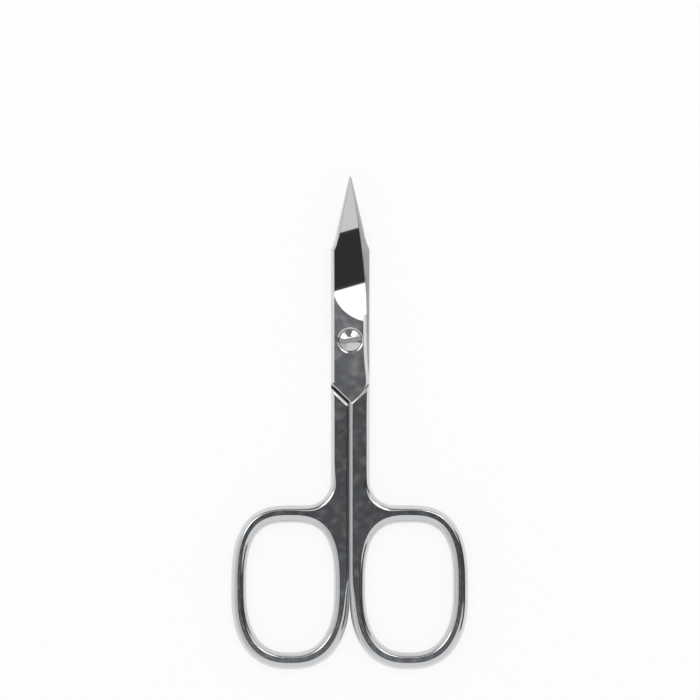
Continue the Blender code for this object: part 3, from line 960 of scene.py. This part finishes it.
@dataclass(frozen=True)
class PivotScrew:
    """Slotted screw with a domed head, and its seat in the upper half."""

    head: float = 0.0040
    shaft: float = 0.0024
    head_rim: float = 0.0003
    dome_rise: float = 0.00045
    dome_form: float = 1.85
    end_chamfer: float = 0.0001
    slot_width: float = 0.00085
    slot_depth: float = 0.00045
    slot_angle: float = math.radians(10.0)
    seat_depth: float = 0.0007
    seat_clearance: float = 0.00015
    seat_flare: Rounding = Rounding(0.00023, 0.00008)
    bore_clearance: float = 0.00006
    thread_clearance: float = 0.00004
    head_clearance: float = 0.00005

    @property
    def seat_floor(self) -> float:
        """Height of the floor of the screw's seat."""
        return WHOLE.plate_height - self.seat_depth

    @property
    def under(self) -> float:
        """Height of the head's lower face."""
        return self.seat_floor + self.head_clearance

    @property
    def crown(self) -> float:
        """Height of the top of the dome."""
        return self.under + self.head_rim + self.dome_rise

    def hole(self, side: Side) -> Mesh:
        """Cutter for a half's hole: counterbored in the upper half, plain in the lower.

        Args:
            side: Which half it is.

        Returns:
            The closed mesh.
        """
        over = WHOLE.overrun
        reach = WHOLE.half_thickness + over
        if side is Side.LOWER:
            radius = self.shaft / 2 + self.thread_clearance
            return turned([(0, -over), (radius, -over), (radius, reach), (0, reach)], Region.CUT)
        bore = self.shaft / 2 + self.bore_clearance
        seat = self.head / 2 + self.seat_clearance
        floor = self.seat_floor
        mouth = seat + self.seat_flare.width
        profile = [(0, -over), (bore, -over), (bore, floor), (seat, floor)]
        profile += [(seat, WHOLE.plate_height - self.seat_flare.drop), (mouth, WHOLE.plate_height)]
        profile += [(mouth, reach), (0, reach)]
        return turned(profile, Region.CUT)

    def solid(self) -> Mesh:
        """Domed head and plain shaft, turned as one piece.

        Returns:
            The closed mesh.
        """
        end = -WHOLE.plate_height
        head = self.head / 2
        shaft = self.shaft / 2
        profile = [(0, end), (shaft - self.end_chamfer, end), (shaft, end + self.end_chamfer)]
        profile += [(shaft, self.under), (head, self.under)]
        for step in range(FINE.dome_steps):
            share = 1 - step / FINE.dome_steps
            profile.append((head * share, self.crown - self.dome_rise * share ** self.dome_form))
        profile.append((0, self.crown))
        return turned(profile, ScrewRegion.TURNED)

    def slot(self) -> Mesh:
        """Cutter for the driver slot, straight across the head and a little askew.

        Returns:
            The closed mesh.
        """
        size = Matrix.Diagonal((self.head + WHOLE.overrun, self.slot_width, 2 * self.slot_depth, 1.0))
        turn = Matrix.Rotation(self.slot_angle, 4, "Z")
        mesh = bmesh.new()
        bmesh.ops.create_cube(mesh, size=1.0, matrix=Matrix.Translation((0, 0, self.crown)) @ turn @ size)
        for face in mesh.faces:
            face.material_index = ScrewRegion.SLOT
        return mesh

    def make(self, finishes: Sequence[Material]) -> Item:
        """Build and dress the screw.

        Args:
            finishes: Its materials: of the turned faces, and of the slot.

        Returns:
            The piece.
        """
        screw = place("pivot_screw_steel", self.solid(), Side.UPPER, finishes)
        slot = place("slot_cutter", self.slot(), Side.UPPER, finishes)
        work(screw, slot, Operation.CUT)
        bake(screw, (ScrewRegion.TURNED,))
        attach(screw, "lower")
        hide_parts("pivot_screw")
        return screw


def link(item: Item) -> Item:
    """The object, added to the scene."""
    bpy.context.scene.collection.objects.link(item)
    return item


def place(name: str, mesh: Mesh, side: Side, materials: Sequence[Material]) -> Item:
    """Make an object from a mesh drawn in a half's own frame, with its origin on the pivot.

    Args:
        name: The object's name.
        mesh: The mesh, which is freed.
        side: Which half's frame it was drawn in.
        materials: Its materials in the order of their regions.

    Returns:
        The object.
    """
    if side is Side.LOWER:
        for vertex in mesh.verts:
            vertex.co = Vector((-vertex.co.x, vertex.co.y, -vertex.co.z))
    data = bpy.data.meshes.new(name)
    mesh.to_mesh(data)
    mesh.free()
    for material in materials:
        data.materials.append(material)
    item = link(bpy.data.objects.new(name, data))
    item.location = PIVOT
    return item


def work(item: Item, tool: Item, operation: Operation) -> None:
    """Join or cut an object with a tool by a Boolean modifier.

    Args:
        item: The object.
        tool: The tool.
        operation: What it does.
    """
    modifier = item.modifiers.new(tool.name, "BOOLEAN")
    modifier.operation = operation.value
    modifier.object = tool
    modifier.solver = "EXACT"


def bake(item: Item, firm: Container[int]) -> None:
    """Keep an object's joined and cut shape as its mesh, smooth but for its real edges.

    Args:
        item: The object, with its Boolean modifiers.
        firm: Finishes of the faces that keep their own direction up to their rims.
    """
    depsgraph = bpy.context.evaluated_depsgraph_get()
    shaped = bpy.data.meshes.new_from_object(item.evaluated_get(depsgraph))
    tools = [modifier.object for modifier in item.modifiers]
    item.modifiers.clear()
    item.data = shaped
    for tool in tools:
        bpy.data.objects.remove(tool, do_unlink=True)
    mesh = bmesh.new()
    mesh.from_mesh(shaped)
    firmness = mesh.faces.layers.int.new(FIRMNESS)
    for face in mesh.faces:
        face.smooth = True
        face[firmness] = FIRM if face.material_index in firm else 0
    for edge in mesh.edges:
        regions = {face.material_index for face in edge.link_faces}
        folded = edge.calc_face_angle(0.0) > FINE.sharp_angle
        edge.smooth = not folded and not (Region.PLATE in regions and regions & {Region.GROUND, Region.CUT})
    mesh.to_mesh(shaped)
    mesh.free()
    weighting = item.modifiers.new("even_shading", "WEIGHTED_NORMAL")
    weighting.mode = "CORNER_ANGLE"
    weighting.keep_sharp = True
    weighting.use_face_influence = True


@dataclass(frozen=True)
class ScissorHalf:
    """One forging: shank and bow, relieved for its twin, with plate, blade and pivot hole."""

    side: Side

    def make(self, finishes: Sequence[Material]) -> Item:
        """Build and dress the half.

        Args:
            finishes: Its materials in the order of the regions.

        Returns:
            The piece.
        """
        body = self.side.name.lower()
        half = place(f"{body}_half_steel", Bow(self.side).solid(), self.side, finishes)
        tools = (
            ("relief_cutter", LAP.relief(), Operation.CUT),
            ("blade_blank", Blade(self.side).solid(), Operation.JOIN),
            ("hole_cutter", PivotScrew().hole(self.side), Operation.CUT),
        )
        for name, mesh, operation in tools:
            work(half, place(name, mesh, self.side, finishes), operation)
        bake(half, (Region.FLAT, Region.PLATE, Region.GROUND))
        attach(half, body)
        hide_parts(f"{body}_half")
        return half


def sheet(name: str, width: float, height: float) -> tuple[Item, Graph]:
    """Add a flat rectangle to the scene, with a material of its own.

    Args:
        name: Its name.
        width: Its size along X.
        height: Its size along Y.

    Returns:
        The rectangle, and its material's empty graph.
    """
    made = bpy.data.materials.new(name)
    data = bpy.data.meshes.new(name)
    signs = ((-0.5, -0.5), (0.5, -0.5), (0.5, 0.5), (-0.5, 0.5))
    data.from_pydata([(width * x, height * y, 0) for x, y in signs], [], [(0, 1, 2, 3)])
    data.materials.append(made)
    return link(bpy.data.objects.new(name, data)), Graph(made)


@dataclass(frozen=True)
class Card:
    """A panel of the studio that the steel mirrors, facing the scissors and seen from them.

    Angles are in degrees: the bearing counter-clockwise from +X, the lean from straight up.
    """

    name: str
    bearing: float
    lean: float
    width: float
    height: float
    light: float
    distance: float = 1.0
    lights: bool = True

    def make(self) -> None:
        """Hang the panel."""
        bearing, lean = math.radians(self.bearing), math.radians(self.lean)
        level = math.sin(lean)
        toward = Vector((math.cos(bearing) * level, math.sin(bearing) * level, math.cos(lean)))
        panel, graph = sheet(self.name, self.width, self.height)
        graph.show(graph.glow(WHITE, self.light))
        panel.location = toward * self.distance
        panel.rotation_euler = toward.to_track_quat("Z", "Y").to_euler()
        panel.visible_camera = False
        panel.visible_shadow = False
        panel.visible_diffuse = self.lights


@dataclass(frozen=True)
class Studio:
    """White floor, soft light from all round, a dark ceiling over the camera, and the camera."""

    camera_height: float = 0.70
    camera_near: float = 0.01
    pixels_each_metre: float = 5457.0
    picture: float = 700.0
    film: float = 36.0
    aim: Pair = (0.00007, 0.01334)
    floor_size: float = 8.0
    floor_white: Colour = (0.985, 0.985, 0.985, 1.0)
    sky: float = 0.87
    sky_mirrored: float = 0.82
    shadow_shown: float = 0.15
    cards: tuple[Card, ...] = (
        Card("ceiling_card", 0.0, 5.5, 0.34, 0.62, 0.04, 1.02, lights=False),
        Card("right_flag", 0.0, 50.0, 0.30, 1.15, 0.06, 1.10, lights=False),
        Card("low_flag", 0.0, 66.0, 0.90, 0.62, 0.06, 1.14, lights=False),
        Card("left_card", 180.0, 38.0, 1.60, 0.90, 0.62, 1.12, lights=False),
        Card("gap_card", 97.0, 40.0, 0.56, 0.80, 0.20, 1.05, lights=False),
        Card("low_gap_card", 97.0, 58.0, 1.50, 0.40, 0.22, 1.07, lights=False),
        Card("overhead_box", 90.0, 11.5, 0.80, 0.19, 1.6),
        Card("right_box", 61.0, 33.0, 0.34, 0.34, 2.4),
        Card("left_box", 146.0, 33.0, 0.34, 0.34, 2.4),
    )

    def make(self) -> None:
        """Set up the camera, the floor and the light."""
        bpy.context.scene.view_settings.view_transform = "Standard"
        self.shoot()
        self.lay_floor()
        self.light()
        for card in self.cards:
            card.make()

    def shoot(self) -> None:
        """Place the camera straight above, as the photograph was taken."""
        data = bpy.data.cameras.new("camera")
        data.sensor_width = self.film
        data.lens = self.film * self.camera_height * self.pixels_each_metre / self.picture
        data.clip_start = self.camera_near
        camera = link(bpy.data.objects.new("camera", data))
        camera.location = (*self.aim, self.camera_height)
        bpy.context.scene.camera = camera

    def lay_floor(self) -> None:
        """Lay the white floor, which shows only part of its shading to the camera."""
        floor, graph = sheet("floor", self.floor_size, self.floor_size)
        paint = graph.add("ShaderNodeBsdfDiffuse", {"Color": self.floor_white})["BSDF"]
        glow = graph.glow(self.floor_white, 1.0)
        seen = graph.add("ShaderNodeLightPath")["Is Camera Ray"] * (1 - self.shadow_shown)
        graph.show(graph.add("ShaderNodeMixShader", {"Fac": seen, 1: paint, 2: glow})["Shader"])

    def light(self) -> None:
        """Light everything evenly, with a white surround for the camera and for mirror-like steel."""
        world = bpy.data.worlds.new("studio")
        bpy.context.scene.world = world
        graph = Graph(world)
        path = graph.add("ShaderNodeLightPath")
        shown = path["Is Camera Ray"].larger(path["Is Glossy Ray"])
        strength = self.sky + shown * (self.sky_mirrored - self.sky)
        sky = graph.add("ShaderNodeBackground", {"Color": WHITE, "Strength": strength})["Background"]
        graph.add("ShaderNodeOutputWorld", {"Surface": sky})


@dataclass(frozen=True)
class Finishes:
    """Every finish of the scissors."""

    flat: SteelFinish = SteelFinish(
        "satin_flat_steel", 0.165, 0.07, colour=(0.665, 0.69, 0.735, 1.0), warm=(0.74, 0.715, 0.73, 1.0),
        cool=(0.58, 0.665, 0.735, 1.0), tint=0.75, grain_depth=1e-7, wave_depth=6e-7, scratch_depth=2e-7,
        smudge=620.0, smudge_share=0.25)
    plate: SteelFinish = replace(
        flat, name="satin_plate_steel", blur=0.185, colour=(0.665, 0.69, 0.725, 1.0),
        warm=(0.73, 0.70, 0.72, 1.0), cool=(0.61, 0.68, 0.74, 1.0), tint=0.7)
    rim: SteelFinish = SteelFinish(
        "polished_rim_steel", 0.11, 0.05, tint=0.35, wave_depth=6e-7, smudge_share=0.06)
    ground: SteelFinish = SteelFinish(
        "mirror_ground_steel", 0.035, 0.02, colour=(0.675, 0.682, 0.695, 1.0), tint=0.25,
        grain=(300.0, 12000.0, 300.0), grain_depth=8e-8, scratch=(160.0, 2200.0, 160.0),
        scratch_depth=2e-7, smudge_share=0.15)
    lapped: SteelFinish = SteelFinish(
        "lapped_inner_steel", 0.34, 0.10, colour=(0.62, 0.62, 0.63, 1.0), smudge_share=0.15,
        grain=(400.0, 9000.0, 400.0), grain_depth=5e-7)
    cut: SteelFinish = SteelFinish(
        "bored_steel", 0.16, 0.08, grain=(600.0, 600.0, 14000.0), grain_depth=5e-7)
    # Painted shade: steel coloured near black for the faces in the gap between the halves, where shade
    # falls.
    gap: SteelFinish = SteelFinish(
        "painted_shade_gap_steel", 0.25, 0.10, colour=(0.10, 0.10, 0.105, 1.0),
        warm=(0.12, 0.105, 0.09, 1.0), cool=(0.08, 0.09, 0.10, 1.0))
    slot: SteelFinish = SteelFinish("rough_slot_steel", 0.40, 0.10, colour=(0.40, 0.40, 0.41, 1.0))
    turned: SteelFinish = SteelFinish(
        "turned_screw_steel", 0.11, 0.05, colour=(0.70, 0.70, 0.71, 1.0),
        grain=(5000.0, 5000.0, 5000.0), grain_depth=2e-7)

    def of(self, regions: type[IntEnum]) -> list[Material]:
        """Materials of the regions in their order, each made of the finish of that name."""
        return [getattr(self, region.name.lower()).material() for region in regions]


def main() -> None:
    """Build the studio, the two halves and the screw, and report each piece."""
    logging.basicConfig(level=logging.INFO, format="%(name)s: %(message)s")
    Studio().make()
    finishes = Finishes()
    shared = finishes.of(Region)
    pieces = [ScissorHalf(side).make(shared) for side in Side]
    pieces.append(PivotScrew().make(finishes.of(ScrewRegion)))
    for piece in pieces:
        log.info("%s: %d faces", piece.name, len(piece.data.polygons))


if __name__ == "__main__":
    main()
